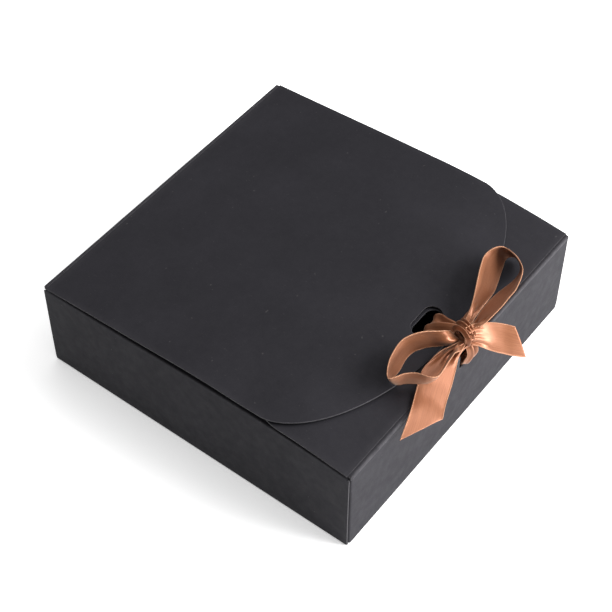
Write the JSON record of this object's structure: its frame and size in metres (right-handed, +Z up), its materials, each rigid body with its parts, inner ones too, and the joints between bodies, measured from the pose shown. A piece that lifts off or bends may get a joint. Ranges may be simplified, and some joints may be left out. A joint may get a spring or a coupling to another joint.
{
  "type": "gift box",
  "caption": "Shallow square folding carton with a bowed lid and rounded front edge, closed by a satin ribbon bow tied through slots over its front edge.",
  "frame": {"origin": "middle of the base panel's underside, on the surface that the box stands on", "axes": "+Z up; +X to the right along the front edge; +Y from the front wall to the back wall, where the lid is hinged; the bow is at the front, at -Y"},
  "size_m": [0.165, 0.1856, 0.0691],
  "materials": {
    "black_card": "matte",
    "copper_satin": "satin"
  },
  "bodies": {
    "carton": {"base_panel": "black_card", "front_wall": "black_card", "back_wall": "black_card", "front_left_corner_tab": "black_card", "front_right_corner_tab": "black_card", "back_left_corner_tab": "black_card", "back_right_corner_tab": "black_card", "left_outer_wall": "black_card", "left_wall_spine": "black_card", "left_inner_wall": "black_card", "right_outer_wall": "black_card", "right_wall_spine": "black_card", "right_inner_wall": "black_card", "lid_crease": "black_card", "flap_crease": "black_card"},
    "lid": {"lid_panel": "black_card"},
    "front_flap": {"front_flap": "black_card", "ribbon_under_strap": "copper_satin"},
    "bow": {"ribbon_knot": "copper_satin", "ribbon_left_loop": "copper_satin", "ribbon_right_loop": "copper_satin", "ribbon_left_tail": "copper_satin", "ribbon_right_tail": "copper_satin", "ribbon_lid_strap": "copper_satin", "ribbon_front_strap": "copper_satin"}
  },
  "joints": [
    {"name": "lid_hinge", "type": "hinge", "parent": "carton", "child": "lid", "pos_m": [0, 0.08215, 0.04865], "axis": [-1, 0, 0], "range_deg": [0, 180]},
    {"name": "front_flap_hinge", "type": "hinge", "parent": "carton", "child": "front_flap", "pos_m": [0, -0.08215, 0.04865], "axis": [1, 0, 0], "range_deg": [0, 180]},
    {"name": "bow_removal", "type": "slide", "parent": "lid", "child": "bow", "axis": [0, 0, 1], "range_m": [0, 0.02]}
  ],
  "couplings": [
    {"joint": "front_flap_hinge", "follows": "lid_hinge", "ratio": 1}
  ]
}
